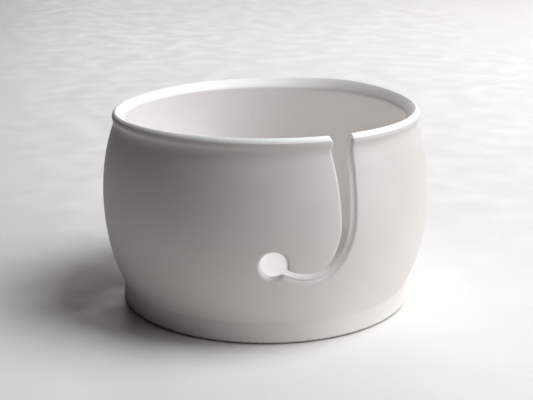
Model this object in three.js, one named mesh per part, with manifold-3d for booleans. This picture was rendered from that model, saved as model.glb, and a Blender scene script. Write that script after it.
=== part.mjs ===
// Ceramic yarn bowl. A ball of yarn turns in the bowl while its working end runs out through the
// J-shaped slot: down from the rim, round the bend, and into the round yarn hole that keeps it.
//
// Frame: millimetres, +Z up, the origin on the table under the bowl's axis. The straight leg of the
// slot faces -Y, and the bend and the yarn hole lie to its -X side.
//
// The fired bowl is one piece of clay: foot ring, floor, bellied wall, beaded rim. Four elastomer
// pads stuck up inside the recess of the foot carry it just clear of the table.

import * as THREE from "three";
import { mergeVertices } from "three/addons/utils/BufferGeometryUtils.js";
import Module from "manifold-3d";

const wasm = await Module();
wasm.setup();

// ---------------------------------------------------------------- driving dimensions

const BELLY_RADIUS = 75;
const HEIGHT = 90;
const WALL = 4.6;

// The belly is half an ellipse standing on a core cylinder. It is a little taller below the widest
// height than above it.
const BELLY_BULGE = 27;
const BELLY_WIDEST_Z = 49.7;
const BELLY_HALF_BELOW = 55;
const BELLY_HALF_ABOVE = 53.5;
const BELLY_BOTTOM_Z = 9.5;
const BELLY_TOP_Z = 81;

// The foot is a near-upright band on a ring, with a shallow recess behind it.
const FOOT_RADIUS = 66.8;
const FOOT_TOP_RADIUS = 66.5;
const FOOT_TOP_Z = 7.9;
const FOOT_Z = 0.5;
const FOOT_EDGE = 0.8;
const FOOT_RING_WIDTH = 8;
const RECESS_Z = 2.5;
const RECESS_FILLET = 1;

// The rim: a shallow neck, a bead with an upright face and a nearly flat top, and a bevel inside that
// falls to an edge, from where the wall leans out again.
const NECK_RADIUS = 69.3;
const NECK_TOP_Z = 84.8;
const RIM_OUTER_RADIUS = 69.8;
const RIM_CREST_RADIUS = 67;
const RIM_CORNER = 0.9;
const RIM_DROOP = 0.4;
const BEAD_BOTTOM_Z = 86.2;
const LIP_TOP_RADIUS = 65.7;
const LIP_TOP_Z = 88.7;
const LIP_EDGE_RADIUS = 64.5;
const LIP_EDGE_Z = 86;
const UNDER_LIP_RADIUS = 64.8;
const UNDER_LIP_Z = 84.9;

const INSIDE_TOP_Z = 72;
const INSIDE_BOTTOM_Z = 22;
const FLOOR_Z = 7.5;

// The slot is a stroke along a J, drawn flat as if the belly were unrolled: x is the distance round
// the belly from the leg, y the height. It narrows all the way from its mouth, which flares a little
// at the rim, to the yarn hole.
const LEG_LEAN = -1.4;
const LEG_BOTTOM_Z = 55.5;
const BEND_WIDTH = 15.5;
const BEND_BOTTOM_Z = 31.6;
const HOOK_CORNER = -23.5;
const HOOK_END = [-29.5, 35.6];
const YARN_HOLE = [-32.3, 37.8];
const YARN_HOLE_RADIUS = 5.9;
const SLOT_WIDTH_AT_MOUTH = 9.3;
const SLOT_WIDTH_AT_HOLE = 2.5;
const SLOT_TAPER_POWER = 1.15;
const MOUTH_FLARE = 0.85;
const MOUTH_FLARE_DEPTH = 11;

const PAD_HEIGHT = RECESS_Z;
const PAD_RADIUS = 6;
const PAD_TOE_RADIUS = 5.2;
const PAD_EDGE = 0.5;
const PAD_CIRCLE_RADIUS = 50;

const BOWL_SEGMENTS = 80;
const PAD_SEGMENTS = 28;
const SLOT_EDGE_POINTS = 26;
const YARN_HOLE_POINTS = 22;

// ---------------------------------------------------------------- materials

const ceramic = new THREE.MeshStandardMaterial({ color: 0xdedad6, roughness: 0.6, metalness: 0 });

function elastomer() {
  return new THREE.MeshStandardMaterial({ color: 0xb9b8b4, roughness: 0.5, metalness: 0 });
}

// ---------------------------------------------------------------- the bowl's section

// The belly's radius at a height, or the radius of the face that lies inset under it.
function bellyRadius(z, inset = 0) {
  const half = (z < BELLY_WIDEST_Z ? BELLY_HALF_BELOW : BELLY_HALF_ABOVE) - inset;
  const rise = (z - BELLY_WIDEST_Z) / half;
  const bulge = BELLY_BULGE - inset;
  return BELLY_RADIUS - BELLY_BULGE + bulge * Math.sqrt(1 - rise * rise);
}

// The slope dr/dz of the same curve.
function bellySlope(z, inset = 0) {
  const step = 0.01;
  return (bellyRadius(z + step, inset) - bellyRadius(z - step, inset)) / (2 * step);
}

// Points along the belly from one height to another.
function bellyRun(fromZ, toZ, steps, inset = 0) {
  return Array.from({ length: steps + 1 }, (_, i) => {
    const z = THREE.MathUtils.lerp(fromZ, toZ, i / steps);
    return new THREE.Vector2(bellyRadius(z, inset), z);
  });
}

// Points along part of an ellipse about (r, z). Angles are in degrees, from +r towards +z.
function ellipseRun(r, z, radiusR, radiusZ, fromDeg, toDeg, steps) {
  const from = THREE.MathUtils.degToRad(fromDeg);
  const to = THREE.MathUtils.degToRad(toDeg);
  return new THREE.EllipseCurve(r, z, radiusR, radiusZ, from, to, to < from).getPoints(steps);
}

// Points round a soft corner, which leaves one point and reaches another along lines that would
// meet at the corner.
function cornerRun(from, corner, to, steps) {
  const [a, b, c] = [from, corner, to].map(([r, z]) => new THREE.Vector2(r, z));
  return new THREE.QuadraticBezierCurve(a, b, c).getPoints(steps);
}

// The height at which the belly's tangent at z reaches a radius.
function tangentReaches(radius, z) {
  return z + (radius - bellyRadius(z)) / bellySlope(z);
}

// The section of the clay from the axis under the floor, out and up the outside, over the rim, and
// down the inside to the axis again.
function bowlSection() {
  const recess = FOOT_RADIUS - FOOT_RING_WIDTH;
  const underside = [
    new THREE.Vector2(0, RECESS_Z),
    ...ellipseRun(recess - RECESS_FILLET, RECESS_Z - RECESS_FILLET, RECESS_FILLET, RECESS_FILLET, 90, 0, 2),
    new THREE.Vector2(recess + RECESS_FILLET / 2, FOOT_Z),
  ];

  const foot = ellipseRun(FOOT_RADIUS - FOOT_EDGE, FOOT_Z + FOOT_EDGE, FOOT_EDGE, FOOT_EDGE, -90, 0, 2);

  const crease = cornerRun(
    [FOOT_TOP_RADIUS, FOOT_TOP_Z],
    [FOOT_TOP_RADIUS, tangentReaches(FOOT_TOP_RADIUS, BELLY_BOTTOM_Z)],
    [bellyRadius(BELLY_BOTTOM_Z), BELLY_BOTTOM_Z],
    2,
  );

  const belly = bellyRun(BELLY_BOTTOM_Z, BELLY_TOP_Z, 12).slice(1);

  const neck = cornerRun(
    [bellyRadius(BELLY_TOP_Z), BELLY_TOP_Z],
    [NECK_RADIUS, tangentReaches(NECK_RADIUS, BELLY_TOP_Z)],
    [NECK_RADIUS, NECK_TOP_Z],
    3,
  ).slice(1);

  const cornerZ = HEIGHT - RIM_DROOP - RIM_CORNER;
  const bead = [
    new THREE.Vector2(RIM_OUTER_RADIUS, BEAD_BOTTOM_Z),
    ...ellipseRun(RIM_OUTER_RADIUS - RIM_CORNER, cornerZ, RIM_CORNER, RIM_CORNER, 0, 75, 3),
  ];

  const lip = cornerRun(
    [RIM_CREST_RADIUS, HEIGHT],
    [LIP_TOP_RADIUS, LIP_TOP_Z],
    [LIP_EDGE_RADIUS, LIP_EDGE_Z],
    4,
  );

  const wallTop = bellyRadius(INSIDE_TOP_Z, WALL);
  const rise = (UNDER_LIP_Z - INSIDE_TOP_Z) / 2;
  const underLip = cornerRun(
    [UNDER_LIP_RADIUS, UNDER_LIP_Z],
    [wallTop + rise * bellySlope(INSIDE_TOP_Z, WALL), INSIDE_TOP_Z + rise],
    [wallTop, INSIDE_TOP_Z],
    3,
  );

  const inside = bellyRun(INSIDE_TOP_Z, INSIDE_BOTTOM_Z, 8, WALL).slice(1);

  const wallFoot = bellyRadius(INSIDE_BOTTOM_Z, WALL);
  const drop = INSIDE_BOTTOM_Z - FLOOR_Z;
  const cornerRadius = wallFoot - drop * bellySlope(INSIDE_BOTTOM_Z, WALL);
  const floor = cornerRun(
    [wallFoot, INSIDE_BOTTOM_Z],
    [cornerRadius, FLOOR_Z],
    [cornerRadius - drop, FLOOR_Z],
    5,
  ).slice(1);

  return [
    ...underside,
    ...foot,
    ...crease,
    ...belly,
    ...neck,
    ...bead,
    ...lip,
    ...underLip,
    ...inside,
    ...floor,
    new THREE.Vector2(0, FLOOR_Z),
  ];
}

// ---------------------------------------------------------------- the slot's outline

// The stroke starts this far above the rim, so that the cut runs out through it.
const CUT_MARGIN = 4;

// The middle of the stroke: down the leg, round a quarter ellipse, and up into the yarn hole.
function slotPath() {
  const top = HEIGHT + CUT_MARGIN;
  const leg = new THREE.QuadraticBezierCurve(
    new THREE.Vector2(LEG_LEAN, top),
    new THREE.Vector2(0, (top + LEG_BOTTOM_Z) / 2),
    new THREE.Vector2(0, LEG_BOTTOM_Z),
  );
  const bend = new THREE.EllipseCurve(
    -BEND_WIDTH,
    LEG_BOTTOM_Z,
    BEND_WIDTH,
    LEG_BOTTOM_Z - BEND_BOTTOM_Z,
    0,
    -Math.PI / 2,
    true,
  );
  const hook = new THREE.QuadraticBezierCurve(
    new THREE.Vector2(-BEND_WIDTH, BEND_BOTTOM_Z),
    new THREE.Vector2(HOOK_CORNER, BEND_BOTTOM_Z),
    new THREE.Vector2(...HOOK_END),
  );
  const path = new THREE.CurvePath();
  path.add(leg);
  path.add(bend);
  path.add(hook);
  return path;
}

const path = slotPath();
const pathLength = path.getLength();
const holeCentre = new THREE.Vector2(...YARN_HOLE);

// A point on the stroke's edge, u of the way down it. side is 1 for the edge inside the hook and -1
// for the edge outside it.
function slotEdge(u, side) {
  const middle = path.getPointAt(u);
  const along = path.getTangentAt(u);
  const depth = Math.max(0, u * pathLength - CUT_MARGIN);
  const taper = (1 - depth / (pathLength - CUT_MARGIN)) ** SLOT_TAPER_POWER;
  const flare = MOUTH_FLARE * Math.exp(-((depth / MOUTH_FLARE_DEPTH) ** 2));
  const half = THREE.MathUtils.lerp(SLOT_WIDTH_AT_HOLE, SLOT_WIDTH_AT_MOUTH, taper) / 2 + flare;
  return new THREE.Vector2(middle.x + side * half * along.y, middle.y - side * half * along.x);
}

// How far down the stroke its edge runs into the yarn hole.
function edgeMeetsHole(side) {
  let outside = 0.7;
  let inside = 1;
  for (let i = 0; i < 30; i++) {
    const u = (outside + inside) / 2;
    if (slotEdge(u, side).distanceTo(holeCentre) < YARN_HOLE_RADIUS) {
      inside = u;
    } else {
      outside = u;
    }
  }
  return outside;
}

function edgePoints(side) {
  const step = edgeMeetsHole(side) / (SLOT_EDGE_POINTS - 1);
  return Array.from({ length: SLOT_EDGE_POINTS }, (_, i) => slotEdge(i * step, side));
}

// The slot's closed outline: down one edge, round the yarn hole, and back up the other edge.
function slotShape() {
  const inner = edgePoints(1);
  const outer = edgePoints(-1);
  const angleTo = (point) => Math.atan2(point.y - holeCentre.y, point.x - holeCentre.x);
  const from = angleTo(inner.at(-1));
  let to = angleTo(outer.at(-1));
  while (to < from) {
    to += 2 * Math.PI;
  }
  const round = new THREE.EllipseCurve(...YARN_HOLE, YARN_HOLE_RADIUS, YARN_HOLE_RADIUS, from, to, false);
  const hole = round.getPoints(YARN_HOLE_POINTS).slice(1, -1);
  return new THREE.Shape([...inner, ...hole, ...outer.reverse()]);
}

// The cutter: the flat outline thickened and then wrapped round the bowl's axis, so that the slot's
// cut faces point at the axis all the way along it.
function slotCutter() {
  const innerRadius = LIP_EDGE_RADIUS - CUT_MARGIN;
  const depth = BELLY_RADIUS + CUT_MARGIN - innerRadius;
  const cutter = new THREE.ExtrudeGeometry(slotShape(), { depth, bevelEnabled: false });
  const position = cutter.attributes.position;
  for (let i = 0; i < position.count; i++) {
    const turn = position.getX(i) / BELLY_RADIUS;
    const radius = innerRadius + position.getZ(i);
    position.setXYZ(i, radius * Math.sin(turn), -radius * Math.cos(turn), position.getY(i));
  }
  return cutter;
}

// ---------------------------------------------------------------- solids and booleans

function toSolid(geometry) {
  const bare = geometry.clone();
  bare.deleteAttribute("normal");
  bare.deleteAttribute("uv");
  const merged = mergeVertices(bare, 1e-4);
  const mesh = new wasm.Mesh({
    numProp: 3,
    vertProperties: merged.attributes.position.array,
    triVerts: new Uint32Array(merged.index.array),
  });
  return new wasm.Manifold(mesh);
}

function toGeometry(solid) {
  const mesh = solid.getMesh();
  const geometry = new THREE.BufferGeometry();
  geometry.setAttribute("position", new THREE.BufferAttribute(mesh.vertProperties, 3));
  geometry.setIndex(new THREE.BufferAttribute(mesh.triVerts, 1));
  geometry.computeVertexNormals();
  return geometry;
}

// LatheGeometry turns its profile about Y, so the result is stood up along +Z.
function turned(profile, segments) {
  return new THREE.LatheGeometry(profile, segments).rotateX(Math.PI / 2);
}

// ---------------------------------------------------------------- pieces

function bowlBody() {
  const clay = toSolid(turned(bowlSection(), BOWL_SEGMENTS));
  const slotted = clay.subtract(toSolid(slotCutter()));
  const body = new THREE.Mesh(toGeometry(slotted), ceramic);
  body.name = "bowl_body";
  return body;
}

// One pad: a short tapered button with a rounded toe, its toe on the table.
function footPad(name, degrees) {
  const profile = [
    new THREE.Vector2(0, 0),
    ...ellipseRun(PAD_TOE_RADIUS - PAD_EDGE, PAD_EDGE, PAD_EDGE, PAD_EDGE, -90, 0, 3),
    new THREE.Vector2(PAD_RADIUS, PAD_HEIGHT),
    new THREE.Vector2(0, PAD_HEIGHT),
  ];
  const pad = new THREE.Mesh(turned(profile, PAD_SEGMENTS), elastomer());
  const angle = THREE.MathUtils.degToRad(degrees);
  pad.name = name;
  pad.position.set(PAD_CIRCLE_RADIUS * Math.cos(angle), PAD_CIRCLE_RADIUS * Math.sin(angle), 0);
  return pad;
}

const yarnBowl = new THREE.Group();
yarnBowl.name = "yarn_bowl";
yarnBowl.add(bowlBody());
yarnBowl.add(footPad("foot_pad_front_right", -45));
yarnBowl.add(footPad("foot_pad_rear_right", 45));
yarnBowl.add(footPad("foot_pad_rear_left", 135));
yarnBowl.add(footPad("foot_pad_front_left", 225));

export default yarnBowl;
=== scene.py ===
"""The looks of a white stoneware yarn bowl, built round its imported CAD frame.

Lengths inside this script are millimetres in the frame's own axes (+Z up, the slot's straight leg
facing -Y) until a mesh is made, and metres after that.
"""
import math

import bmesh
import bpy
import numpy as np
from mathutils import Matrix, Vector
from mathutils.geometry import delaunay_2d_cdt


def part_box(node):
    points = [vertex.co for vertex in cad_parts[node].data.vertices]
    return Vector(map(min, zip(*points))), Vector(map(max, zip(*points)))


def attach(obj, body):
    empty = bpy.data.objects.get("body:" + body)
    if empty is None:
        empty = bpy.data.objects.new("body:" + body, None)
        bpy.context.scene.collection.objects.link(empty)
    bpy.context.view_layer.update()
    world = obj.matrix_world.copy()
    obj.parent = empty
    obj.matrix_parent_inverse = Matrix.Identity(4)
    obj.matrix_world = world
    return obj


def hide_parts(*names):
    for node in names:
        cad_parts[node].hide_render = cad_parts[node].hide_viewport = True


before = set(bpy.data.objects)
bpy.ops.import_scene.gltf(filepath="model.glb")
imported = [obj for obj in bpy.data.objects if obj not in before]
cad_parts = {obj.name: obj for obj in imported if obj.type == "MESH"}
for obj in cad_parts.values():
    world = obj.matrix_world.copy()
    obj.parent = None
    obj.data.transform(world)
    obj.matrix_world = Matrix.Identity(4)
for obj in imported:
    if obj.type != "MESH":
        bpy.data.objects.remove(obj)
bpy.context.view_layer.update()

MM = 0.001

# ------------------------------------------------------------------ the section of the clay

BODY_LOW, BODY_HIGH = (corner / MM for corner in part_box("bowl_body"))
BELLY_RADIUS = (BODY_HIGH.x - BODY_LOW.x) / 2
HEIGHT = BODY_HIGH.z
FOOT_Z = BODY_LOW.z
WALL = 4.6

BELLY_BULGE = 27
BELLY_WIDEST_Z = 49.7
BELLY_HALF_BELOW = 55
BELLY_HALF_ABOVE = 53.5
BELLY_BOTTOM_Z = 9.5
BELLY_TOP_Z = 81

FOOT_RADIUS = 66.8
FOOT_TOP_RADIUS = 66.5
FOOT_TOP_Z = 7.9
FOOT_EDGE = 0.8
FOOT_RING_WIDTH = 8
FOOT_RING_EDGE = 0.6
RECESS_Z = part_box("foot_pad_front_left")[1].z / MM
RECESS_FILLET = 1

# A shallow neck, a bead with a rounded outer corner, and a bevel inside that falls to the lip's edge.
NECK_RADIUS = 69.3
NECK_TOP_Z = 84.8
RIM_OUTER_RADIUS = 69.8
RIM_CREST_RADIUS = 68.2
RIM_CORNER_WIDTH = 1.6
RIM_CORNER_DEPTH = 2.6
RIM_DROOP = 0.3
BEAD_BOTTOM_Z = 86.2
LIP_TOP_RADIUS = 66.2
LIP_TOP_Z = 88.4
LIP_EDGE_RADIUS = 64
LIP_EDGE_Z = 85.6
LIP_EDGE_SOFTNESS = 0.8
UNDER_LIP_RADIUS = 64.35
UNDER_LIP_Z = 84.5
INSIDE_TOP_Z = 72
INSIDE_BOTTOM_Z = 22
FLOOR_Z = 7.5

SECTION_STEP = 0.05
SECTION_SOFTNESS = 0.25


def belly_radius(z, inset=0.0):
    """The belly's radius at a height, or that of the face that lies inset under it."""
    half = np.where(z < BELLY_WIDEST_Z, BELLY_HALF_BELOW, BELLY_HALF_ABOVE) - inset
    rise = (z - BELLY_WIDEST_Z) / half
    return BELLY_RADIUS - BELLY_BULGE + (BELLY_BULGE - inset) * np.sqrt(1 - rise ** 2)


def belly_slope(z, inset=0.0):
    step = 0.01
    return (belly_radius(z + step, inset) - belly_radius(z - step, inset)) / (2 * step)


def belly_run(from_z, to_z, inset=0.0):
    z = np.linspace(from_z, to_z, 400)
    return np.column_stack([belly_radius(z, inset), z])


def arc_run(centre, radii, from_deg, to_deg):
    """Points along part of an ellipse. Angles run from +r towards +z."""
    angle = np.radians(np.linspace(from_deg, to_deg, 60))
    return np.column_stack([
        centre[0] + radii[0] * np.cos(angle),
        centre[1] + radii[1] * np.sin(angle),
    ])


def corner_run(start, corner, end):
    """Points round a soft corner: a quadratic curve whose ends aim at the corner."""
    t = np.linspace(0, 1, 60)[:, None]
    a, b, c = (np.array(p, float) for p in (start, corner, end))
    return (1 - t) ** 2 * a + 2 * t * (1 - t) * b + t ** 2 * c


def toward(start, end, distance):
    """The point at a distance from the start on the straight line to the end."""
    a, b = np.array(start, float), np.array(end, float)
    return a + (b - a) * distance / np.linalg.norm(b - a)


def tangent_reaches(radius, z):
    """The height at which the belly's tangent at z reaches a radius."""
    return z + (radius - float(belly_radius(z))) / float(belly_slope(z))


def section_corners():
    """The section from the axis under the floor, out and up, over the rim, and in to the axis again."""
    recess = FOOT_RADIUS - FOOT_RING_WIDTH
    wall_foot = float(belly_radius(INSIDE_BOTTOM_Z, WALL))
    drop = INSIDE_BOTTOM_Z - FLOOR_Z
    corner = wall_foot - drop * float(belly_slope(INSIDE_BOTTOM_Z, WALL))
    wall_top = float(belly_radius(INSIDE_TOP_Z, WALL))
    rise = (UNDER_LIP_Z - INSIDE_TOP_Z) / 2
    return np.vstack([
        [(0, RECESS_Z)],
        arc_run((recess - RECESS_FILLET, RECESS_Z - RECESS_FILLET), (RECESS_FILLET,) * 2, 90, 0),
        arc_run((recess + FOOT_RING_EDGE, FOOT_Z + FOOT_RING_EDGE), (FOOT_RING_EDGE,) * 2, 180, 270),
        arc_run((FOOT_RADIUS - FOOT_EDGE, FOOT_Z + FOOT_EDGE), (FOOT_EDGE,) * 2, -90, 0),
        corner_run(
            (FOOT_TOP_RADIUS, FOOT_TOP_Z),
            (FOOT_TOP_RADIUS, tangent_reaches(FOOT_TOP_RADIUS, BELLY_BOTTOM_Z)),
            (float(belly_radius(BELLY_BOTTOM_Z)), BELLY_BOTTOM_Z),
        ),
        belly_run(BELLY_BOTTOM_Z, BELLY_TOP_Z),
        corner_run(
            (float(belly_radius(BELLY_TOP_Z)), BELLY_TOP_Z),
            (NECK_RADIUS, tangent_reaches(NECK_RADIUS, BELLY_TOP_Z)),
            (NECK_RADIUS, NECK_TOP_Z),
        ),
        [(RIM_OUTER_RADIUS, BEAD_BOTTOM_Z)],
        arc_run(
            (RIM_OUTER_RADIUS - RIM_CORNER_WIDTH, HEIGHT - RIM_DROOP - RIM_CORNER_DEPTH),
            (RIM_CORNER_WIDTH, RIM_CORNER_DEPTH), 0, 75,
        ),
        corner_run(
            (RIM_CREST_RADIUS, HEIGHT),
            (LIP_TOP_RADIUS, LIP_TOP_Z),
            toward((LIP_EDGE_RADIUS, LIP_EDGE_Z), (LIP_TOP_RADIUS, LIP_TOP_Z), LIP_EDGE_SOFTNESS),
        ),
        corner_run(
            toward((LIP_EDGE_RADIUS, LIP_EDGE_Z), (LIP_TOP_RADIUS, LIP_TOP_Z), LIP_EDGE_SOFTNESS),
            (LIP_EDGE_RADIUS, LIP_EDGE_Z),
            toward((LIP_EDGE_RADIUS, LIP_EDGE_Z), (UNDER_LIP_RADIUS, UNDER_LIP_Z), LIP_EDGE_SOFTNESS),
        ),
        corner_run(
            (UNDER_LIP_RADIUS, UNDER_LIP_Z),
            (wall_top + rise * float(belly_slope(INSIDE_TOP_Z, WALL)), INSIDE_TOP_Z + rise),
            (wall_top, INSIDE_TOP_Z),
        ),
        belly_run(INSIDE_TOP_Z, INSIDE_BOTTOM_Z, WALL),
        corner_run((wall_foot, INSIDE_BOTTOM_Z), (corner, FLOOR_Z), (corner - drop, FLOOR_Z)),
        [(0, FLOOR_Z)],
    ])


def lengths_along(points):
    return np.concatenate([[0], np.cumsum(np.linalg.norm(np.diff(points, axis=0), axis=1))])


def resampled(points, step):
    """The same polyline with evenly spaced points."""
    along = lengths_along(points)
    keep = np.concatenate([[True], np.diff(along) > 1e-9])
    points, along = points[keep], along[keep]
    count = max(2, int(round(along[-1] / step)) + 1)
    at = np.linspace(0, along[-1], count)
    return np.column_stack([np.interp(at, along, column) for column in points.T])


def smoothed(values, sigma_steps):
    """Gaussian smoothing along the first axis. Each end is carried on straight, so it stays put."""
    reach = int(4 * sigma_steps) + 1
    weight = np.exp(-0.5 * (np.arange(-reach, reach + 1) / sigma_steps) ** 2)
    weight /= weight.sum()
    columns = values.reshape(len(values), -1)
    head = 2 * columns[0] - columns[reach:0:-1]
    tail = 2 * columns[-1] - columns[-2:-reach - 2:-1]
    padded = np.vstack([head, columns, tail])
    soft = [np.convolve(column, weight, "valid") for column in padded.T]
    return np.column_stack(soft).reshape(values.shape)


class Section:
    """The section as a smooth curve: place, direction and curvature at a distance t along it."""

    def __init__(self):
        even = resampled(section_corners(), SECTION_STEP)
        points = smoothed(even, SECTION_SOFTNESS / SECTION_STEP)
        points[:, 0] = np.maximum(points[:, 0], 0)
        self.t = lengths_along(points)
        self.r, self.z = points.T
        direction = np.gradient(points, self.t, axis=0)
        direction /= np.linalg.norm(direction, axis=1)[:, None]
        self.dr, self.dz = direction.T
        heading = np.unwrap(np.arctan2(self.dz, self.dr))
        self.curvature = np.gradient(heading, self.t)
        self.crest = self.t[np.argmax(self.z)]
        self.length = self.t[-1]

    def at(self, t):
        return [np.interp(t, self.t, v) for v in (self.r, self.z, self.dr, self.dz)]

    def tightness(self, t):
        """The radius of the section's own curve where it bulges out of the clay."""
        soft = smoothed(self.curvature, 0.2 / SECTION_STEP)
        return 1 / np.maximum(np.interp(t, self.t, soft), 1e-6)

    def outside_t(self, z):
        """Where on the outside of the wall a height is."""
        part = (self.t <= self.crest) & (self.z > FOOT_Z + FOOT_EDGE) & (self.r > FOOT_TOP_RADIUS - 1)
        return np.interp(z, self.z[part], self.t[part])

    def inside_t(self, z):
        """Where on the inside of the wall a height is."""
        part = (self.t >= self.crest) & (self.r > 1)
        return np.interp(z, self.z[part][::-1], self.t[part][::-1])


section = Section()


def on_clay(x, t):
    """The point of the clay at x round the belly from the slot's leg and t along the section."""
    r, z, _, _ = section.at(t)
    turn = x / BELLY_RADIUS
    return np.column_stack([r * np.sin(turn), -r * np.cos(turn), z])


def clay_axes(x, t):
    """At the same point: the directions round the bowl, along the section, and out of the clay."""
    _, _, dr, dz = section.at(t)
    turn = x / BELLY_RADIUS
    zero, one = np.zeros_like(turn), np.ones_like(turn)
    outward = np.column_stack([np.sin(turn), -np.cos(turn), zero])
    around = np.column_stack([np.cos(turn), np.sin(turn), zero])
    up = np.column_stack([zero, zero, one])
    along = dr[:, None] * outward + dz[:, None] * up
    normal = dz[:, None] * outward - dr[:, None] * up
    return around, along, normal


# ------------------------------------------------------------------ the slot's outline

# The slot is drawn on the unrolled belly: x is the distance round it from the straight leg, and the
# second number of a pair is the height.
LEG_LEAN = -1.4
LEG_BOTTOM_Z = 55.5
BEND_WIDTH = 15.5
BEND_BOTTOM_Z = 31.6
HOOK_CORNER = -23.5
HOOK_END = (-29.5, 35.6)
YARN_HOLE = np.array([-32.3, 37.8])
YARN_HOLE_RADIUS = 5.9
SLOT_WIDTH_AT_MOUTH = 9.3
SLOT_WIDTH_AT_HOLE = 2.5
SLOT_TAPER_POWER = 1.15
CUT_MARGIN = 4
MOUTH_FLARE = 0.85
MOUTH_FLARE_DEPTH = 11
# The bead's end on the hook's side was left standing a little into the slot.
BEAD_END = 1.5
BEAD_END_Z = 86.8
BEAD_END_SPREAD = 1.7

OUTLINE_STEP = 0.05
OUTLINE_SOFTNESS = 0.9


def slot_middle():
    """The middle of the slot, drawn on the unrolled belly: down the leg, round, and up to the hole."""
    top = HEIGHT + CUT_MARGIN
    quarter = np.linspace(0, -math.pi / 2, 200)
    bend = np.column_stack([
        -BEND_WIDTH + BEND_WIDTH * np.cos(quarter),
        LEG_BOTTOM_Z + (LEG_BOTTOM_Z - BEND_BOTTOM_Z) * np.sin(quarter),
    ])
    path = np.vstack([
        corner_run((LEG_LEAN, top), (0, (top + LEG_BOTTOM_Z) / 2), (0, LEG_BOTTOM_Z)),
        bend[1:],
        corner_run((-BEND_WIDTH, BEND_BOTTOM_Z), (HOOK_CORNER, BEND_BOTTOM_Z), HOOK_END)[1:],
    ])
    return resampled(path, OUTLINE_STEP)


def slot_edges():
    """The two edges of the stroke, the one inside the hook first."""
    middle = slot_middle()
    along = lengths_along(middle)
    direction = np.gradient(middle, along, axis=0)
    direction /= np.linalg.norm(direction, axis=1)[:, None]
    depth = np.clip(along - CUT_MARGIN, 0, None)
    taper = (1 - depth / depth[-1]) ** SLOT_TAPER_POWER
    width = SLOT_WIDTH_AT_HOLE + (SLOT_WIDTH_AT_MOUTH - SLOT_WIDTH_AT_HOLE) * taper
    half = width / 2 + MOUTH_FLARE * np.exp(-(depth / MOUTH_FLARE_DEPTH) ** 2)
    side = np.column_stack([direction[:, 1], -direction[:, 0]]) * half[:, None]
    return middle + side, middle - side


def slot_outline():
    """The slot's edge from the rim down, round the yarn hole, and back up to the rim."""
    inner, outer = slot_edges()
    inner[:, 0] += BEAD_END * np.exp(-((inner[:, 1] - BEAD_END_Z) / BEAD_END_SPREAD) ** 2)
    ends = []
    for edge in (inner, outer):
        clear = np.linalg.norm(edge - YARN_HOLE, axis=1) > YARN_HOLE_RADIUS
        last = np.flatnonzero(clear)[-1]
        ends.append(edge[: last + 1])
    inner, outer = ends
    start, stop = (math.atan2(*(edge[-1] - YARN_HOLE)[::-1]) for edge in ends)
    while stop < start:
        stop += 2 * math.pi
    turn = np.linspace(start, stop, 400)
    hole = YARN_HOLE + YARN_HOLE_RADIUS * np.column_stack([np.cos(turn), np.sin(turn)])
    whole = np.vstack([inner, hole[1:-1], outer[::-1]])
    soft = smoothed(resampled(whole, OUTLINE_STEP), OUTLINE_SOFTNESS / OUTLINE_STEP)
    return soft[soft[:, 1] < HEIGHT + 1]


# ------------------------------------------------------------------ the slot's rounded edges

# The rounding of the slot's edges, by where the clay lies: on the hook's side and over the hole, on
# the far side, below the slot, and at the two ends of the rim.
HOOK_SIDE_ROUNDING = 1.0
FAR_SIDE_ROUNDING = 1.4
LOWER_ROUNDING = 1.9
HOOK_RIM_ROUNDING = 1.7
FAR_RIM_ROUNDING = 0.7
RIM_ROUNDING_DEPTH = 3.5
EDGE_STEPS = 6
EDGE_SPACING = 0.85
RIM_SPACING = 0.6
CUT_FACE_STEPS = 4
RIM_ZONE_Z = 81


class Outline:
    """The slot's outline on the unrolled belly, with its direction, against the distance along it."""

    def __init__(self):
        points = slot_outline()
        self.s = lengths_along(points)
        self.x, self.z = points.T
        self.dx, self.dz = unit(np.gradient(points, self.s, axis=0)).T
        self.lowest = np.argmin(self.z)

    def at(self, s):
        return [np.interp(s, self.s, v) for v in (self.x, self.z, self.dx, self.dz)]

    def down_side(self, z):
        """Where the edge that comes down from the rim passes a height."""
        side = slice(0, self.lowest)
        return np.interp(z, self.z[side][::-1], self.s[side][::-1])

    def up_side(self, z):
        """Where the edge that goes back up to the rim passes a height."""
        side = slice(self.lowest, None)
        return np.interp(z, self.z[side], self.s[side])


def edge_of_cut(outline):
    """Matching places down the outside and the inside of the wall round the slot's edge.

    Each list holds (s, t) pairs: along the outline and along the section. Both lists start and end
    on the crest of the rim, where outside and inside meet.
    """
    outer_run = section.crest - float(section.outside_t(RIM_ZONE_Z))
    inner_run = float(section.inside_t(RIM_ZONE_Z)) - section.crest
    share = np.linspace(0, 1, int(math.ceil(outer_run / RIM_SPACING)) + 1)
    first, last = float(outline.down_side(RIM_ZONE_Z)), float(outline.up_side(RIM_ZONE_Z))
    middle = np.linspace(first, last, int((last - first) / EDGE_SPACING) + 1)[1:-1]
    middle_z = outline.at(middle)[1]
    parts = []
    for run, sign, finder in ((outer_run, -1, section.outside_t), (inner_run, 1, section.inside_t)):
        t = section.crest + sign * run * share
        z = section.at(t)[1]
        parts.append(np.vstack([
            np.column_stack([outline.down_side(z), t]),
            np.column_stack([middle, finder(middle_z)]),
            np.column_stack([outline.up_side(z), t])[::-1],
        ]))
    return parts


def turning(loop):
    """The signed curvature of a closed loop of points in the plane."""
    before, after = loop - np.roll(loop, 1, 0), np.roll(loop, -1, 0) - loop
    cross = before[:, 0] * after[:, 1] - before[:, 1] * after[:, 0]
    dot = (before * after).sum(1)
    spacing = (np.linalg.norm(before, axis=1) + np.linalg.norm(after, axis=1)) / 2
    return np.arctan2(cross, dot) / spacing


def loop_smoothed(values, sigma_steps):
    wrap = int(4 * sigma_steps) + 2
    long = np.concatenate([values[-wrap:], values, values[:wrap]])
    return smoothed(long, sigma_steps)[wrap:-wrap]


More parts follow.
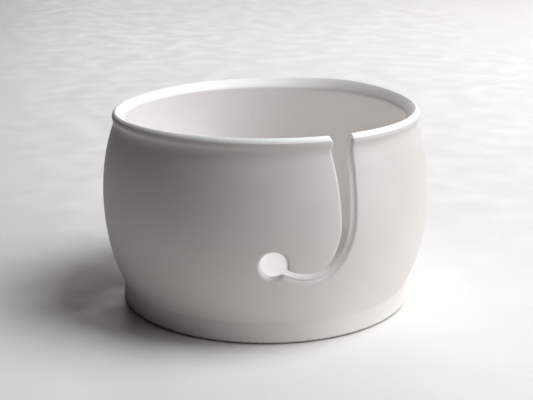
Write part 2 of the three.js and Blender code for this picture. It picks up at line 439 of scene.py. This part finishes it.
def unit(vectors):
    return vectors / np.linalg.norm(vectors, axis=1)[:, None]


class CutEdge:
    """The closed loop where the slot meets the clay's skin, and the rounding along it."""

    def __init__(self):
        outline = Outline()
        outer, inner = edge_of_cut(outline)
        self.count = len(outer)
        s, t = np.vstack([outer, inner[-2:0:-1]]).T
        x, z, dx, dz = outline.at(s)
        self.loop = np.column_stack([x, t])
        radius = section.at(t)[0]
        around, along, normal = clay_axes(x, t)
        point = on_clay(x, t)

        tangent = unit(np.roll(point, -1, 0) - np.roll(point, 1, 0))
        step_around = (tangent * around).sum(1)
        step_along = (tangent * along).sum(1)
        sense = math.copysign(1, (x * np.roll(t, -1) - np.roll(x, -1) * t).sum())

        outward = unit(point * (1, 1, 0))
        level = dx * radius / BELLY_RADIUS
        edge_direction = around * level[:, None] + dz[:, None] * np.array([0, 0, 1.0])
        cut_normal = unit(np.cross(outward, edge_direction))
        inward = unit(np.cross(cut_normal, tangent))
        inward *= -np.sign((inward * normal).sum(1))[:, None]

        rounding = HOOK_SIDE_ROUNDING + np.clip(dz, 0, 1) * (FAR_SIDE_ROUNDING - HOOK_SIDE_ROUNDING)
        rounding += np.clip(dx, 0, 1) * (LOWER_ROUNDING - HOOK_SIDE_ROUNDING)
        over_rim = np.clip(1 - (HEIGHT - point[:, 2]) / RIM_ROUNDING_DEPTH, 0, 1)
        at_rim = np.where(s > outline.s[outline.lowest], FAR_RIM_ROUNDING, HOOK_RIM_ROUNDING)
        rounding += (at_rim - rounding) * over_rim
        bulge = sense * turning(self.loop)
        tightest = np.where(bulge < 0, 1 / np.maximum(-bulge, 1e-6), 1e6)
        rounding = np.minimum(rounding, 0.7 * np.minimum(tightest, section.tightness(t)))
        for _ in range(40):
            rounding = np.minimum(rounding, (np.roll(rounding, 1) + np.roll(rounding, -1)) / 2 + 0.03)
        rounding = loop_smoothed(rounding, 2.5)

        self.skin = self.loop + rounding[:, None] * sense * np.column_stack([
            step_along * BELLY_RADIUS / radius, -step_around,
        ])
        self.strips = self.round_over(point, on_clay(*self.skin.T), point + rounding[:, None] * inward)

    def round_over(self, corner, skin, cut):
        """Rows of points over the edge, from the skin ring to the cut face, as circular arcs."""
        opening = ((skin - corner) * (cut - corner)).sum(1)
        opening /= np.linalg.norm(skin - corner, axis=1) * np.linalg.norm(cut - corner, axis=1)
        weight = np.sin(np.arccos(np.clip(opening, -1, 1)) / 2)[:, None]
        rows = []
        for s in np.linspace(0, 1, EDGE_STEPS + 1):
            a, b, c = (1 - s) ** 2, 2 * s * (1 - s) * weight, s ** 2
            rows.append((a * skin + b * corner + c * cut) / (a + b + c))
        return rows


# ------------------------------------------------------------------ the clay's mesh

COLUMNS = 240
WALL_ROW = 2.1
FLAT_ROW = 4.0
ROWS_PER_RADIAN = 4.0
PATCH_MARGIN = 5.0

# The rim is not quite level: it rises a little at one bearing and sinks at another. Bearings are in
# degrees, anticlockwise from -Y as seen from above.
RIM_RISE_AT = 115
RIM_RISE_SPREAD = 24
RIM_RISE = 1.4
RIM_DIP_AT = 228
RIM_DIP_SPREAD = 46
RIM_DIP = 2.0
LEVEL_BELOW_Z = 84


def row_places():
    """Distances along the section for the rows of the mesh: closer together where it curves."""
    t = section.t
    base = np.where(section.r < FOOT_RADIUS - FOOT_RING_WIDTH - 8, 1 / FLAT_ROW, 1 / WALL_ROW)
    density = smoothed(base + ROWS_PER_RADIAN * np.abs(section.curvature), 0.6 / SECTION_STEP)
    total = np.concatenate([[0], np.cumsum((density[1:] + density[:-1]) / 2 * np.diff(t))])
    count = int(round(total[-1]))
    return np.interp(np.linspace(0, total[-1], count + 1), total, t)


def inside_loop(points, loop):
    """Which points lie inside a closed loop."""
    x, y = points[:, 0][:, None], points[:, 1][:, None]
    ax, ay = loop[:, 0][None], loop[:, 1][None]
    bx, by = np.roll(loop, -1, 0).T[:, None]
    crosses = (ay > y) != (by > y)
    with np.errstate(divide="ignore", invalid="ignore"):
        where = ax + (y - ay) / (by - ay) * (bx - ax)
    return (crosses & (x < where)).sum(1) % 2 == 1


def nearest(points, others):
    gap = points[:, None] - others[None]
    return np.sqrt((gap ** 2).sum(2)).min(1)


class Builder:
    """Gathers points and faces, and welds points that share a place."""

    def __init__(self):
        self.points, self.faces, self.seen = [], [], {}

    def add(self, points):
        ids = []
        for p in points:
            key = tuple(np.round(p, 4) + 0.0)
            if key not in self.seen:
                self.seen[key] = len(self.points)
                self.points.append(p)
            ids.append(self.seen[key])
        return ids

    def face(self, ids):
        ring = [a for a, b in zip(ids, ids[1:] + ids[:1]) if a != b]
        if len(set(ring)) >= 3:
            self.faces.append(ring)

    def object(self, name):
        mesh = bpy.data.meshes.new(name)
        mesh.from_pydata([tuple(p * MM) for p in self.points], [], self.faces)
        work = bmesh.new()
        work.from_mesh(mesh)
        bmesh.ops.delete(work, geom=[v for v in work.verts if not v.link_faces], context="VERTS")
        bmesh.ops.recalc_face_normals(work, faces=work.faces)
        work.to_mesh(mesh)
        work.free()
        mesh.shade_smooth()
        made = bpy.data.objects.new(name, mesh)
        bpy.context.scene.collection.objects.link(made)
        return made


def waved(point):
    """The point, moved up or down with the uneven rim."""
    turn = math.degrees(math.atan2(point[0], -point[1])) % 360
    rise = RIM_RISE * math.exp(-((turn - RIM_RISE_AT) / RIM_RISE_SPREAD) ** 2)
    dip = RIM_DIP * math.exp(-((turn - RIM_DIP_AT) / RIM_DIP_SPREAD) ** 2)
    share = min(max((point[2] - LEVEL_BELOW_Z) / (HEIGHT - LEVEL_BELOW_Z), 0), 1)
    return point + np.array([0, 0, (rise - dip) * share * share * (3 - 2 * share)])


def body_mesh():
    edge = CutEdge()
    rows = row_places()
    columns = np.linspace(-math.pi, math.pi, COLUMNS + 1) * BELLY_RADIUS
    low, high = edge.skin.min(0) - PATCH_MARGIN, edge.skin.max(0) + PATCH_MARGIN
    c0, c1 = np.searchsorted(columns, [low[0], high[0]])
    r0, r1 = np.searchsorted(rows, [low[1], high[1]])
    c0, r0 = c0 - 1, r0 - 1

    builder = Builder()
    grid = []
    for t in rows:
        ids = builder.add(on_clay(columns[:-1], np.full(COLUMNS, t)))
        grid.append(ids + ids[:1])
    for j in range(len(rows) - 1):
        for i in range(COLUMNS):
            if r0 <= j < r1 and c0 <= i < c1:
                continue
            builder.face([grid[j][i], grid[j][i + 1], grid[j + 1][i + 1], grid[j + 1][i]])

    patch_faces(builder, edge, columns[c0:c1 + 1], rows[r0:r1 + 1])
    edge_faces(builder, edge)
    builder.points = [waved(point) for point in builder.points]
    return builder.object("bowl")


def patch_faces(builder, edge, columns, rows):
    """The skin round the slot: grid points joined to the slot's edge by a Delaunay mesh."""
    ring = edge.skin
    halfway = ring + (ring - edge.loop) / np.linalg.norm(ring - edge.loop, axis=1)[:, None] * 0.8
    halfway = halfway[~inside_loop(halfway, ring)]
    halfway = halfway[nearest(halfway, ring) > 0.6]
    spaced = []
    for p in halfway:
        if not spaced or np.linalg.norm(np.array(spaced) - p, axis=1).min() > 0.6:
            spaced.append(p)
    halfway = np.array(spaced)

    x, t = np.meshgrid(columns, rows)
    inner = np.column_stack([x[1:-1, 1:-1].ravel(), t[1:-1, 1:-1].ravel()])
    inner = inner[~inside_loop(inner, ring)]
    inner = inner[nearest(inner, np.vstack([ring, halfway])) > 0.8]
    border = np.vstack([
        np.column_stack([x[0, :-1], t[0, :-1]]),
        np.column_stack([x[:-1, -1], t[:-1, -1]]),
        np.column_stack([x[-1, :0:-1], t[-1, :0:-1]]),
        np.column_stack([x[:0:-1, 0], t[:0:-1, 0]]),
    ])
    points = np.vstack([ring, border, halfway, inner])
    n, m = len(ring), len(border)
    edges = [(i, (i + 1) % n) for i in range(n)]
    edges += [(n + i, n + (i + 1) % m) for i in range(m)]
    out, _, faces, origin, _, _ = delaunay_2d_cdt([Vector(p) for p in points], edges, [], 0, 1e-6)
    place = np.array([points[o[0]] if o else tuple(v) for v, o in zip(out, origin)])
    centres = np.array([place[list(f)].mean(0) for f in faces])
    outside = ~inside_loop(centres, ring)
    ids = builder.add(on_clay(*place.T))
    for keep, f in zip(outside, faces):
        if keep:
            builder.face([ids[k] for k in f])


def edge_faces(builder, edge):
    """The rounded edges, and the cut face that joins the outside of the wall to the inside."""
    rows = [builder.add(row) for row in edge.strips]
    n = len(edge.loop)
    for a, b in zip(rows, rows[1:]):
        for i in range(n):
            k = (i + 1) % n
            builder.face([a[i], a[k], b[k], b[i]])

    cut = edge.strips[-1]
    m = edge.count
    outer = cut[:m]
    inner = np.vstack([cut[:1], cut[m:][::-1], cut[m - 1:m]])
    ribs = [
        builder.add(outer * (1 - s) + inner * s)
        for s in np.linspace(0, 1, CUT_FACE_STEPS + 1)
    ]
    for a, b in zip(ribs, ribs[1:]):
        for i in range(m - 1):
            builder.face([a[i], a[i + 1], b[i + 1], b[i]])


# ------------------------------------------------------------------ the pads under the foot

PAD_NODES = [f"foot_pad_{end}_{side}" for end in ("front", "rear") for side in ("left", "right")]
PAD_SEGMENTS = 64
PAD_SKIRT = 0.3
PAD_EDGE = 0.5
PAD_GROOVES = (1.7, 3.3)
PAD_GROOVE_WIDTH = 0.7
PAD_GROOVE_DEPTH = 0.25


def pad_profile(radius, height):
    """From the middle of the toe out and up: a grooved toe, a soft edge, a side and a thin skirt."""
    toe = radius - 0.8 - PAD_EDGE
    r = np.linspace(0, toe, 40)
    grooves = sum(np.exp(-((r - g) / (PAD_GROOVE_WIDTH / 2)) ** 4) for g in PAD_GROOVES)
    return np.vstack([
        np.column_stack([r, PAD_GROOVE_DEPTH * grooves]),
        arc_run((toe, PAD_EDGE), (PAD_EDGE, PAD_EDGE), -90, -10)[1::6],
        corner_run(
            (toe + PAD_EDGE + 0.1, height - 3 * PAD_SKIRT),
            (toe + PAD_EDGE + 0.15, height - 2 * PAD_SKIRT),
            (radius - PAD_SKIRT, height - 2 * PAD_SKIRT),
        )[::12],
        arc_run((radius - PAD_SKIRT, height - PAD_SKIRT), (PAD_SKIRT,) * 2, -90, 90)[1::6],
        [(0, height)],
    ])


def pad_mesh(node):
    low, high = (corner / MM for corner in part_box(node))
    centre = (low + high) / 2
    profile = pad_profile((high.x - low.x) / 2, high.z - low.z)
    turn = np.linspace(0, 2 * math.pi, PAD_SEGMENTS + 1)
    builder = Builder()
    rings = [
        builder.add(np.column_stack([
            centre.x + r * np.cos(turn), centre.y + r * np.sin(turn), np.full(len(turn), low.z + z),
        ]))
        for r, z in profile
    ]
    for a, b in zip(rings, rings[1:]):
        for i in range(PAD_SEGMENTS):
            builder.face([a[i], a[i + 1], b[i + 1], b[i]])
    return builder.object(node.replace("foot_", ""))


# ------------------------------------------------------------------ materials

BARE_CLAY_TOP_Z = 1.0
# The paler inner colour is painted light on the inside, the rim's top and the slot's cut faces. It begins
# this far under the outer face, and above this height on the rim.
# Each of the two borders is soft over twice its blend.
PAINTED_LIGHT_DEPTH = 0.6
PAINTED_LIGHT_BLEND = 0.25
PAINTED_RIM_LIGHT_Z = 87.9
PAINTED_RIM_LIGHT_BLEND = 0.35
# The outer colour is painted paler up to the first height, as painted bounce light from the table, and
# painted darker from the second one up, as painted shade under the rim.
PAINTED_BOUNCE_Z = 8
PAINTED_SHADE_Z = 84
# The table is painted paler between these distances from the bowl, in metres: painted shade near the bowl
# and painted light far off, where the lamps fall off.
FLOOR_FADE = (0.15, 0.9)


class Recipe:
    """A procedural material in the making: a Principled shader and the nodes that feed it."""

    def __init__(self, name):
        self.material = bpy.data.materials.new(name)
        self.material.use_nodes = True
        self.tree = self.material.node_tree
        self.shader = self.tree.nodes["Principled BSDF"]
        self.place = self.tree.nodes.new("ShaderNodeTexCoord").outputs["Object"]

    def node(self, kind, inputs, **settings):
        """A node, with its settings and with its inputs as values or as sockets to link."""
        made = self.tree.nodes.new(kind)
        for name, value in settings.items():
            setattr(made, name, value)
        for name, value in inputs.items():
            self.feed(made.inputs[name], value)
        return made

    def feed(self, socket, value):
        if isinstance(value, bpy.types.NodeSocket):
            self.tree.links.new(value, socket)
        else:
            socket.default_value = value

    def noise(self, per_metre, detail=2.0, stretch=(1, 1, 1)):
        place = self.node("ShaderNodeMapping", {"Vector": self.place, "Scale": stretch}).outputs[0]
        made = self.node("ShaderNodeTexNoise", {"Vector": place, "Scale": per_metre, "Detail": detail})
        return made.outputs[0]

    def ranged(self, value, start, end, low=0.0, high=1.0):
        """A value carried smoothly from low to high while it runs from start to end."""
        made = self.node("ShaderNodeMapRange", {
            "Value": value, "From Min": start, "From Max": end, "To Min": low, "To Max": high,
        }, interpolation_type="SMOOTHSTEP")
        return made.outputs[0]

    def maths(self, operation, *values):
        return self.node("ShaderNodeMath", dict(enumerate(values)), operation=operation).outputs[0]

    def colour(self, factor, a, b):
        """A mix of two colours, each given as three numbers or as a socket."""
        made = self.node("ShaderNodeMix", {0: factor}, data_type="RGBA")
        for place, value in ((6, a), (7, b)):
            linked = isinstance(value, bpy.types.NodeSocket)
            self.feed(made.inputs[place], value if linked else (*value, 1))
        return made.outputs[2]

    def mixed(self, factor, a, b):
        return self.node("ShaderNodeMix", {0: factor, 2: a, 3: b}, data_type="FLOAT").outputs[0]

    def bump(self, height, depth, strength=1.0, over=None):
        """Relief of a depth in millimetres, over another bump where there is one."""
        inputs = {"Height": height, "Distance": depth * MM, "Strength": strength}
        if over:
            inputs["Normal"] = over
        return self.node("ShaderNodeBump", inputs).outputs[0]

    def finish(self, **inputs):
        for name, value in inputs.items():
            self.feed(self.shader.inputs[name.replace("_", " ")], value)
        return self.material


def painted_light_side(made, height):
    """0 where the outer colour lies and 1 where the paler inner one does: inside, and over the rim's top.

    The paler colour is painted light. The two part just under the face of the belly and the neck, so the
    slot's cut faces have the paler inner colour too.
    """
    level = made.node("ShaderNodeVectorMath", {0: made.place, 1: (1, 1, 0)}, operation="MULTIPLY")
    radius = made.node("ShaderNodeVectorMath", {0: level.outputs[0]}, operation="LENGTH").outputs["Value"]
    half = (BELLY_HALF_ABOVE + BELLY_HALF_BELOW) / 2 - PAINTED_LIGHT_DEPTH
    rise = made.maths("DIVIDE", made.maths("SUBTRACT", height, BELLY_WIDEST_Z * MM), half * MM)
    bulge = made.maths("SQRT", made.maths("SUBTRACT", 1.0, made.maths("MULTIPLY", rise, rise)))
    under = made.maths(
        "MULTIPLY_ADD", bulge, (BELLY_BULGE - PAINTED_LIGHT_DEPTH) * MM, (BELLY_RADIUS - BELLY_BULGE) * MM,
    )
    above = made.maths("GREATER_THAN", height, BELLY_TOP_Z * MM)
    neck = made.maths("MULTIPLY", above, (NECK_RADIUS - PAINTED_LIGHT_DEPTH) * MM)
    behind = made.maths("SUBTRACT", made.maths("MAXIMUM", under, neck), radius)
    inside = made.ranged(behind, -PAINTED_LIGHT_BLEND * MM, PAINTED_LIGHT_BLEND * MM)
    # Painted highlight: the paler colour is also painted over the rim's top.
    rim = made.ranged(height, (PAINTED_RIM_LIGHT_Z - PAINTED_RIM_LIGHT_BLEND) * MM, (PAINTED_RIM_LIGHT_Z + PAINTED_RIM_LIGHT_BLEND) * MM)
    return made.maths("MAXIMUM", inside, rim)


def ceramic_material():
    """Satin white glaze over soft throwing rings, and bare clay under the foot.

    The colour holds painted light. The outside is painted darker as shade, paler towards the foot as
    painted bounce light and darker under the rim as painted shade. The inside, the rim's top and the
    slot's cut faces are painted brightest as painted light.
    """
    made = Recipe("ceramic")
    clouds = made.ranged(made.noise(26, 3), 0.3, 0.7)
    grain = made.ranged(made.noise(900, 2), 0.3, 0.7)
    height = made.node("ShaderNodeSeparateXYZ", {0: made.place}).outputs["Z"]
    # Painted light: the outer colour is paler towards the foot as painted bounce light, and darker
    # towards the rim as painted shade.
    painted_bounce = made.ranged(height, PAINTED_BOUNCE_Z * MM, PAINTED_SHADE_Z * MM, 1.0, 0.0)
    painted_shade_outer = made.colour(clouds, (0.60, 0.55, 0.52), (0.63, 0.578, 0.548))
    painted_bounce_outer = made.colour(clouds, (0.765, 0.704, 0.668), (0.795, 0.732, 0.696))
    outside = made.colour(painted_bounce, painted_shade_outer, painted_bounce_outer)
    # Painted light: the inner colour is painted far paler than the outer one, standing in for the light
    # inside the bowl.
    inside = made.colour(clouds, (0.945, 0.9, 0.88), (0.96, 0.918, 0.9))
    glaze = made.colour(painted_light_side(made, height), outside, inside)
    glaze = made.colour(made.maths("MULTIPLY", grain, 0.12), glaze, (0.66, 0.63, 0.60))
    clay = made.colour(grain, (0.50, 0.44, 0.37), (0.66, 0.60, 0.53))

    ragged = made.maths("ADD", height, made.ranged(made.noise(420, 3), 0.3, 0.7, -0.3 * MM, 0.3 * MM))
    bare = made.ranged(ragged, (BARE_CLAY_TOP_Z + 0.1) * MM, (BARE_CLAY_TOP_Z - 0.1) * MM)

    satin = made.ranged(made.noise(70, 3), 0.3, 0.7, 0.44, 0.54)
    rings = made.noise(7, 2, stretch=(1, 1, 16))
    relief = made.bump(rings, 0.25)
    relief = made.bump(made.noise(240, 2), 0.03, over=relief)
    relief = made.bump(made.noise(1600, 2), 0.012, over=relief)
    relief = made.bump(made.maths("MULTIPLY", bare, made.noise(2200, 3)), 0.12, over=relief)
    return made.finish(
        Base_Color=made.colour(bare, glaze, clay),
        Roughness=made.mixed(bare, satin, 0.9),
        Specular_IOR_Level=0.35,
        Normal=relief,
    )


def elastomer_material():
    """Pale grey moulded silicone with a fine matt texture."""
    made = Recipe("elastomer")
    clouds = made.ranged(made.noise(160, 3), 0.3, 0.7)
    return made.finish(
        Base_Color=made.colour(clouds, (0.44, 0.44, 0.41), (0.52, 0.52, 0.49)),
        Roughness=made.ranged(made.noise(600, 2), 0.3, 0.7, 0.55, 0.72),
        Normal=made.bump(made.noise(3200, 2), 0.02),
    )


def floor_material():
    """A plain pale table, painted a little paler away from the bowl: painted shade near it and painted
    light far off.
    """
    made = Recipe("floor")
    clouds = made.ranged(made.noise(3, 3), 0.3, 0.7)
    # Painted shade near the bowl; the paler far colour below is painted light.
    near = made.colour(clouds, (0.77, 0.742, 0.718), (0.785, 0.757, 0.733))
    reach = made.node("ShaderNodeVectorMath", {0: made.place}, operation="LENGTH").outputs["Value"]
    return made.finish(
        Base_Color=made.colour(made.ranged(reach, *FLOOR_FADE), near, (0.975, 0.935, 0.91)),
        Roughness=made.ranged(made.noise(40, 2), 0.3, 0.7, 0.45, 0.6),
    )


# ------------------------------------------------------------------ pieces


def dress(piece, node, material):
    piece.data.materials.append(material)
    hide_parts(node)
    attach(piece, "root")


dress(body_mesh(), "bowl_body", ceramic_material())
pad_finish = elastomer_material()
for pad_node in PAD_NODES:
    dress(pad_mesh(pad_node), pad_node, pad_finish)

# ------------------------------------------------------------------ camera, light and floor

# The camera stands at this bearing from the bowl: clockwise from -Y as seen from above.
VIEW_TURN = 27.17
VIEW_DISTANCE = 516.6
VIEW_HEIGHT = 195.1
VIEW_PITCH = 16.27
VIEW_YAW = -0.047
SENSOR_WIDTH = 36
LENS = 77.75

# The floor's side, in metres, and the tint of the lamps on the bright side.
FLOOR_SIZE = 6
COOL = (0.955, 1.01, 1.04)


def link(thing):
    bpy.context.scene.collection.objects.link(thing)
    return thing


def bearing(to_the_right, elevation):
    """A direction out from the bowl, by its angle to the right of the camera and above the floor."""
    turn, rise = math.radians(to_the_right - VIEW_TURN), math.radians(elevation)
    return Vector((math.sin(turn) * math.cos(rise), -math.cos(turn) * math.cos(rise), math.sin(rise)))


def add_camera():
    data = bpy.data.cameras.new("camera")
    data.sensor_width = SENSOR_WIDTH
    data.lens = LENS
    made = link(bpy.data.objects.new("camera", data))
    made.location = bearing(0, 0) * VIEW_DISTANCE * MM + Vector((0, 0, VIEW_HEIGHT * MM))
    made.rotation_euler = [math.radians(a) for a in (90 - VIEW_PITCH, 0, VIEW_YAW - VIEW_TURN)]
    bpy.context.scene.camera = made


def add_light(name, to_the_right, elevation, watts, distance=1.3, size=0.8, colour=(1, 1, 1)):
    """A soft round light that faces the bowl."""
    data = bpy.data.lights.new(name, "AREA")
    data.shape = "DISK"
    data.size = size
    data.energy = watts
    data.color = colour
    made = link(bpy.data.objects.new(name, data))
    direction = bearing(to_the_right, elevation)
    made.location = direction * distance + Vector((0, 0, HEIGHT / 2 * MM))
    made.rotation_euler = (-direction).to_track_quat("-Z", "Y").to_euler()
    made.visible_camera = False


def add_world(brightness):
    world = bpy.data.worlds.new("studio")
    world.use_nodes = True
    world.node_tree.nodes["Background"].inputs["Color"].default_value = (1, 0.985, 0.97, 1)
    world.node_tree.nodes["Background"].inputs["Strength"].default_value = brightness
    bpy.context.scene.world = world


def add_floor():
    mesh = bpy.data.meshes.new("floor")
    s = FLOOR_SIZE
    mesh.from_pydata([(-s, -s, 0), (s, -s, 0), (s, s, 0), (-s, s, 0)], [], [(0, 1, 2, 3)])
    mesh.materials.append(floor_material())
    link(bpy.data.objects.new("floor", mesh))


add_camera()
add_floor()
add_world(0.01)
add_light("key", 90, 60, 16.0, colour=COOL)
add_light("side", 75, 30, 4.0, colour=COOL)
add_light("low_side", 60, 12, 4.2, colour=COOL)
add_light("back_side", 150, 14, 1.8)
add_light("back", 180, 14, 12.7, distance=2.6, size=1.6)
bpy.context.scene.view_settings.view_transform = "Standard"
